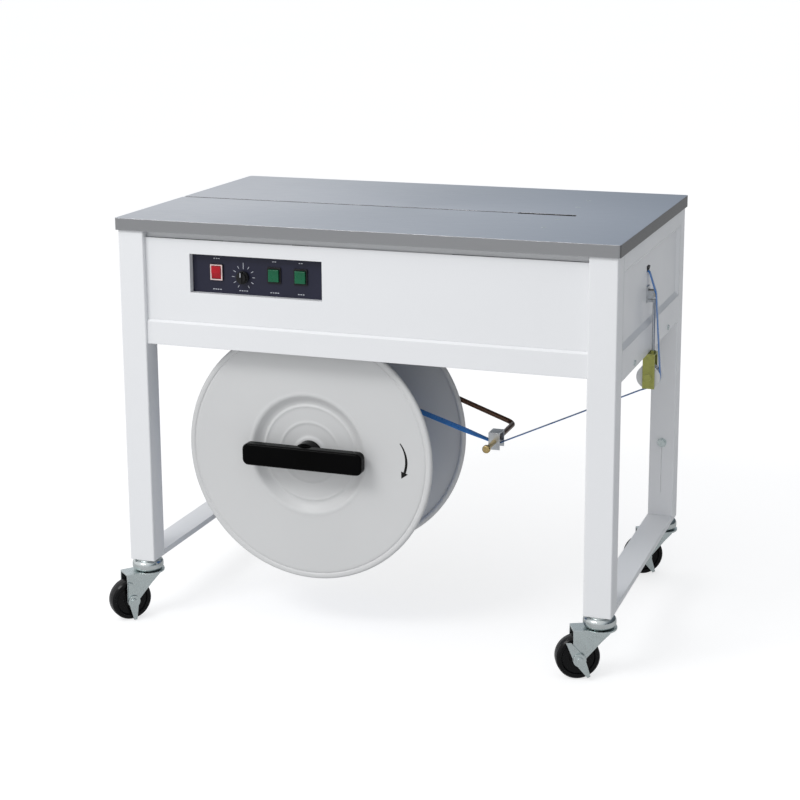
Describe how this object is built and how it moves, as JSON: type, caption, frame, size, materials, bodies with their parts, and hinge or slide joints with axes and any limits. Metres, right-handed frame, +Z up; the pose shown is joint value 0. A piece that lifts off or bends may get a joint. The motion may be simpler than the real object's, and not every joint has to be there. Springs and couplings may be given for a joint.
{
  "type": "semi automatic strapping machine",
  "caption": "Strapping machine: slotted steel table on castered legs, control panel, sealing mechanism inside and a braked strap reel below.",
  "frame": {"origin": "on the floor, below the centre of the table top", "axes": "+X to the right along the table as the operator faces it, +Y away from the operator, +Z up"},
  "size_m": [0.9405, 0.6456, 0.735],
  "materials": {
    "white_paint": "smooth white powder coat",
    "table_steel": "satin sheet steel",
    "navy_panel": "dark blue satin",
    "black_plastic": "moulded black",
    "red_plastic": "moulded red",
    "green_plastic": "moulded green",
    "gloss_black": "polished black",
    "machine_steel": "ground steel",
    "motor_grey": "machine enamel",
    "heater_alloy": "bare alloy",
    "black_rubber": "moulded rubber",
    "board_green": "circuit board",
    "reel_plastic": "moulded light grey",
    "strap_blue": "embossed polypropylene strap",
    "brown_lacquer": "dark brown lacquer",
    "zinc_plate": "bright zinc plate",
    "yellow_zinc": "yellow chromate",
    "olive_zinc": "olive chromate",
    "white_plastic": "moulded white",
    "cream_plastic": "moulded cream",
    "race_chrome": "bright plate",
    "wheel_black": "moulded black"
  },
  "bodies": {
    "base": {"table_top": "table_steel", "front_left_leg": "white_paint", "front_right_leg": "white_paint", "rear_left_leg": "white_paint", "rear_right_leg": "white_paint", "floor_rails": "white_paint", "body_rails": "white_paint", "cross_members": "white_paint", "front_panel": "white_paint", "rear_panel": "white_paint", "left_side_panel": "white_paint", "right_side_panel": "white_paint", "control_panel": "navy_panel", "switch_bodies": "black_plastic", "power_inlet": "black_plastic", "mechanism_frame": "machine_steel", "gear_motor": "motor_grey", "strap_chute": "black_plastic", "control_board": "board_green", "reel_bracket": "white_paint", "pulley_bracket": "olive_zinc", "upper_strap_guide": "zinc_plate", "strap_line": "strap_blue", "caster_races": "race_chrome", "frame_screws": "zinc_plate"},
    "power_rocker": {"power_rocker": "red_plastic"},
    "timer_knob": {"timer_knob": "black_plastic"},
    "reset_button": {"reset_button": "green_plastic"},
    "feed_button": {"feed_button": "green_plastic"},
    "cam_shaft": {"cam_shaft": "machine_steel"},
    "left_gripper": {"left_gripper": "machine_steel"},
    "press_head": {"press_head": "machine_steel"},
    "right_gripper": {"right_gripper": "machine_steel"},
    "slide_table": {"slide_table": "machine_steel"},
    "heater_arm": {"heater_arm": "heater_alloy"},
    "feed_roller": {"feed_roller": "black_rubber"},
    "reel_handle": {"reel_handle": "gloss_black"},
    "strap_pulley": {"strap_pulley": "white_plastic"},
    "guide_roller": {"guide_roller": "cream_plastic"},
    "reel": {"reel_shaft": "machine_steel", "reel_spool": "reel_plastic", "front_reel_flange": "reel_plastic", "strap_coil": "strap_blue", "brake_drum": "machine_steel"},
    "brake_lever": {"brake_lever": "brown_lacquer", "brake_shoe": "black_rubber", "strap_guide_block": "zinc_plate", "strap_guide_pin": "yellow_zinc"},
    "front_left_caster": {"front_left_caster_fork": "zinc_plate"},
    "front_left_wheel": {"front_left_caster_wheel": "wheel_black"},
    "front_left_brake": {"front_left_caster_brake": "zinc_plate"},
    "front_right_caster": {"front_right_caster_fork": "zinc_plate"},
    "front_right_wheel": {"front_right_caster_wheel": "wheel_black"},
    "front_right_brake": {"front_right_caster_brake": "zinc_plate"},
    "rear_left_caster": {"rear_left_caster_fork": "zinc_plate"},
    "rear_left_wheel": {"rear_left_caster_wheel": "wheel_black"},
    "rear_left_brake": {"rear_left_caster_brake": "zinc_plate"},
    "rear_right_caster": {"rear_right_caster_fork": "zinc_plate"},
    "rear_right_wheel": {"rear_right_caster_wheel": "wheel_black"},
    "rear_right_brake": {"rear_right_caster_brake": "zinc_plate"}
  },
  "joints": [
    {"name": "power_rocker_tilt", "type": "hinge", "parent": "base", "child": "power_rocker", "pos_m": [-0.265, -0.259, 0.646], "axis": [1, 0, 0], "range_deg": [-18, 0]},
    {"name": "timer_knob_turn", "type": "hinge", "parent": "base", "child": "timer_knob", "pos_m": [-0.215, -0.26, 0.6395], "axis": [0, 1, 0], "range_deg": [-150, 150]},
    {"name": "reset_button_press", "type": "slide", "parent": "base", "child": "reset_button", "axis": [0, 1, 0], "range_m": [0, 0.0035], "stiffness_N_per_m": 300, "springref_m": -0.002},
    {"name": "feed_button_press", "type": "slide", "parent": "base", "child": "feed_button", "axis": [0, 1, 0], "range_m": [0, 0.0035], "stiffness_N_per_m": 300, "springref_m": -0.002},
    {"name": "cam_shaft_turn", "type": "hinge", "parent": "base", "child": "cam_shaft", "pos_m": [0.172, -0.018, 0.612], "axis": [1, 0, 0], "continuous": true},
    {"name": "left_gripper_lift", "type": "slide", "parent": "base", "child": "left_gripper", "axis": [0, 0, 1], "range_m": [0, 0.005], "stiffness_N_per_m": 400, "springref_m": -0.003},
    {"name": "press_head_lift", "type": "slide", "parent": "base", "child": "press_head", "axis": [0, 0, 1], "range_m": [0, 0.005], "stiffness_N_per_m": 400, "springref_m": -0.003},
    {"name": "right_gripper_lift", "type": "slide", "parent": "base", "child": "right_gripper", "axis": [0, 0, 1], "range_m": [0, 0.005], "stiffness_N_per_m": 400, "springref_m": -0.003},
    {"name": "slide_table_slide", "type": "slide", "parent": "base", "child": "slide_table", "axis": [0, 1, 0], "range_m": [0, 0.03]},
    {"name": "heater_arm_swing", "type": "hinge", "parent": "base", "child": "heater_arm", "pos_m": [0.345, 0.03, 0.7213], "axis": [0, 0, -1], "range_deg": [-26, 0]},
    {"name": "reel_spin", "type": "hinge", "parent": "base", "child": "reel", "pos_m": [-0.11, 0, 0.326], "axis": [0, 1, 0], "continuous": true},
    {"name": "reel_handle_turn", "type": "hinge", "parent": "reel", "child": "reel_handle", "pos_m": [-0.11, -0.262, 0.326], "axis": [0, 1, 0], "continuous": true},
    {"name": "brake_lever_swing", "type": "hinge", "parent": "base", "child": "brake_lever", "pos_m": [-0.08, 0, 0.456], "axis": [0, -1, 0], "range_deg": [0, 25], "stiffness_Nm_per_rad": 1, "springref_deg": -28.65, "deforming": ["strap_line"]},
    {"name": "strap_pulley_spin", "type": "hinge", "parent": "base", "child": "strap_pulley", "pos_m": [0.444, -0.02, 0.46], "axis": [0, 1, 0], "continuous": true},
    {"name": "guide_roller_spin", "type": "hinge", "parent": "base", "child": "guide_roller", "pos_m": [0.446, -0.02, 0.606], "axis": [0, 1, 0], "continuous": true},
    {"name": "feed_roller_spin", "type": "hinge", "parent": "base", "child": "feed_roller", "pos_m": [0.385, -0.02, 0.64], "axis": [0, 1, 0], "continuous": true},
    {"name": "front_left_caster_swivel", "type": "hinge", "parent": "base", "child": "front_left_caster", "pos_m": [-0.4195, -0.26, 0.088], "axis": [0, 0, 1], "continuous": true},
    {"name": "front_left_wheel_roll", "type": "hinge", "parent": "front_left_caster", "child": "front_left_wheel", "pos_m": [-0.44377, -0.28792, 0.0375], "axis": [0.7547, -0.6561, 0], "continuous": true},
    {"name": "front_left_brake_press", "type": "hinge", "parent": "front_left_caster", "child": "front_left_brake", "pos_m": [-0.44377, -0.28792, 0.0375], "axis": [0.7547, -0.6561, 0], "range_deg": [0, 24]},
    {"name": "front_right_caster_swivel", "type": "hinge", "parent": "base", "child": "front_right_caster", "pos_m": [0.4195, -0.26, 0.088], "axis": [0, 0, 1], "continuous": true},
    {"name": "front_right_wheel_roll", "type": "hinge", "parent": "front_right_caster", "child": "front_right_wheel", "pos_m": [0.38613, -0.27599, 0.0375], "axis": [0.4321, -0.9018, 0], "continuous": true},
    {"name": "front_right_brake_press", "type": "hinge", "parent": "front_right_caster", "child": "front_right_brake", "pos_m": [0.38613, -0.27599, 0.0375], "axis": [0.4321, -0.9018, 0], "range_deg": [-24, 0]},
    {"name": "rear_left_caster_swivel", "type": "hinge", "parent": "base", "child": "rear_left_caster", "pos_m": [-0.4195, 0.26, 0.088], "axis": [0, 0, 1], "continuous": true},
    {"name": "rear_left_wheel_roll", "type": "hinge", "parent": "rear_left_caster", "child": "rear_left_wheel", "pos_m": [-0.44228, 0.28916, 0.0375], "axis": [-0.788, -0.6157, 0], "continuous": true},
    {"name": "rear_left_brake_press", "type": "hinge", "parent": "rear_left_caster", "child": "rear_left_brake", "pos_m": [-0.44228, 0.28916, 0.0375], "axis": [-0.788, -0.6157, 0], "range_deg": [-24, 0]},
    {"name": "rear_right_caster_swivel", "type": "hinge", "parent": "base", "child": "rear_right_caster", "pos_m": [0.4195, 0.26, 0.088], "axis": [0, 0, 1], "continuous": true},
    {"name": "rear_right_wheel_roll", "type": "hinge", "parent": "rear_right_caster", "child": "rear_right_wheel", "pos_m": [0.38765, 0.24116, 0.0375], "axis": [0.509, -0.8607, 0], "continuous": true},
    {"name": "rear_right_brake_press", "type": "hinge", "parent": "rear_right_caster", "child": "rear_right_brake", "pos_m": [0.38765, 0.24116, 0.0375], "axis": [0.509, -0.8607, 0], "range_deg": [-24, 0]}
  ],
  "couplings": [
    {"joint": "strap_pulley_spin", "follows": "reel_spin", "ratio": -6.7772},
    {"joint": "guide_roller_spin", "follows": "reel_spin", "ratio": -19.235},
    {"joint": "feed_roller_spin", "follows": "reel_spin", "ratio": -5.7368}
  ]
}
